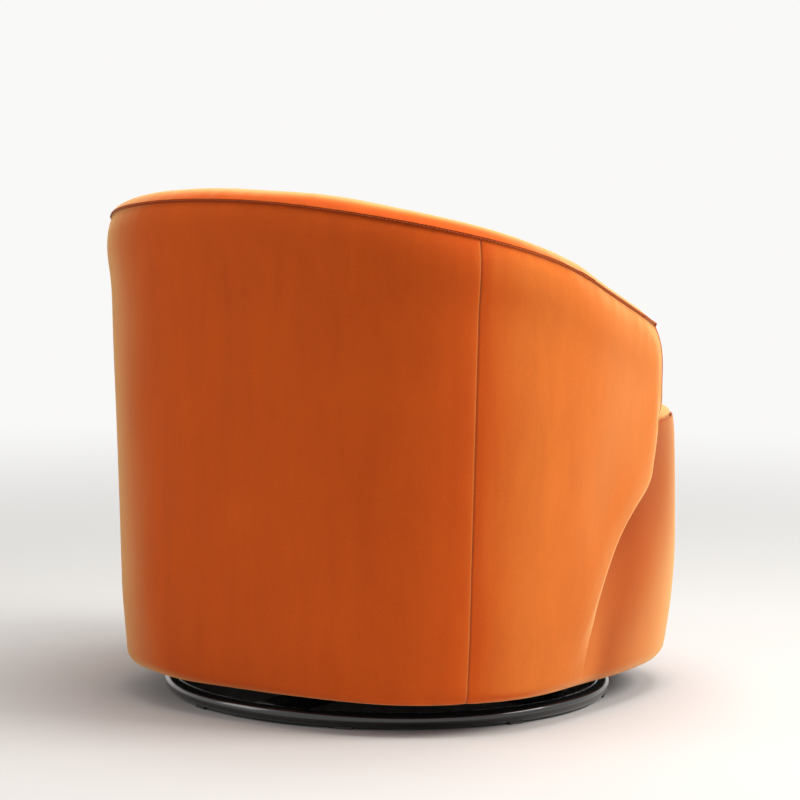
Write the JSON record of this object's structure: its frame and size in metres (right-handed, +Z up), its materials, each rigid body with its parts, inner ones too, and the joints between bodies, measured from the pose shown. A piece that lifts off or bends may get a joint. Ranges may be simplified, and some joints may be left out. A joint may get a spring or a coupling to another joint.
{
  "type": "swivel barrel chair",
  "caption": "Upholstered barrel chair with a sloping rim, short arms and a tight seat, turning on a ball-bearing swivel over a round steel ring base.",
  "frame": {"origin": "the point on the floor under the swivel axis, in the middle of the ring base", "axes": "+Z up along the swivel axis; the sitter faces -Y; +X is the sitter's left"},
  "size_m": [0.7536, 0.7512, 0.733],
  "materials": {
    "velvet": "burnt orange velvet with a short fine pile",
    "foam": "open-cell upholstery foam",
    "wadding": "bonded polyester wadding",
    "fibreboard": "thin bent fibreboard, raw",
    "plywood": "raw plywood",
    "webbing": "woven elastic webbing",
    "felt": "needled felt",
    "lining": "black spunbond lining",
    "spring_steel": "oiled spring wire",
    "black_enamel": "gloss black powder coat",
    "zinc_plate": "bright zinc plating",
    "bearing_steel": "polished steel",
    "black_plastic": "moulded black plastic"
  },
  "bodies": {
    "base": {"base_ring": "black_enamel", "cross_bar_long": "black_enamel", "cross_bar_halves": "black_enamel", "hub_plate": "black_enamel", "floor_glides": "black_plastic", "swivel_plate_lower": "zinc_plate", "swivel_bolts_lower": "zinc_plate", "swivel_nuts_lower": "zinc_plate"},
    "ball_cage": {"ball_cage": "zinc_plate", "bearing_balls": "bearing_steel"},
    "chair": {"back_cover": "velvet", "side_cover_left": "velvet", "side_cover_right": "velvet", "rim_band_cover": "velvet", "inner_back_cover": "velvet", "inner_arm_cover_left": "velvet", "inner_arm_cover_right": "velvet", "arm_front_cover_left": "velvet", "arm_front_cover_right": "velvet", "front_cover": "velvet", "seat_cover": "velvet", "rim_foam": "foam", "back_foam": "foam", "arm_foam_left": "foam", "arm_foam_right": "foam", "arm_front_pad_left": "foam", "arm_front_pad_right": "foam", "front_pad": "foam", "seat_foam": "foam", "outer_wadding": "wadding", "outer_board_back": "fibreboard", "outer_board_left": "fibreboard", "outer_board_right": "fibreboard", "front_board": "fibreboard", "rim_rail_back": "plywood", "rim_rail_left": "plywood", "rim_rail_right": "plywood", "back_post_centre": "plywood", "back_post_left": "plywood", "back_post_right": "plywood", "side_post_left": "plywood", "side_post_right": "plywood", "tack_rail": "plywood", "arm_front_board_left": "plywood", "arm_front_board_right": "plywood", "base_plate": "plywood", "seat_rail_front": "plywood", "seat_rail_rear": "plywood", "seat_rail_left": "plywood", "seat_rail_right": "plywood", "frame_blocks": "plywood", "back_webbing": "webbing", "spring_felt": "felt", "bottom_lining": "lining", "seat_springs": "spring_steel", "spring_clips": "spring_steel", "swivel_plate_upper": "zinc_plate", "pivot_rivet": "zinc_plate", "swivel_bolts_upper": "zinc_plate", "tee_nuts": "zinc_plate"}
  },
  "joints": [
    {"name": "swivel", "type": "hinge", "parent": "base", "child": "chair", "pos_m": [0, 0, 0.0375], "axis": [0, 0, 1], "continuous": true},
    {"name": "cage_roll", "type": "hinge", "parent": "base", "child": "ball_cage", "pos_m": [0, 0, 0.0375], "axis": [0, 0, 1], "continuous": true}
  ],
  "couplings": [
    {"joint": "cage_roll", "follows": "swivel", "ratio": 0.5}
  ]
}
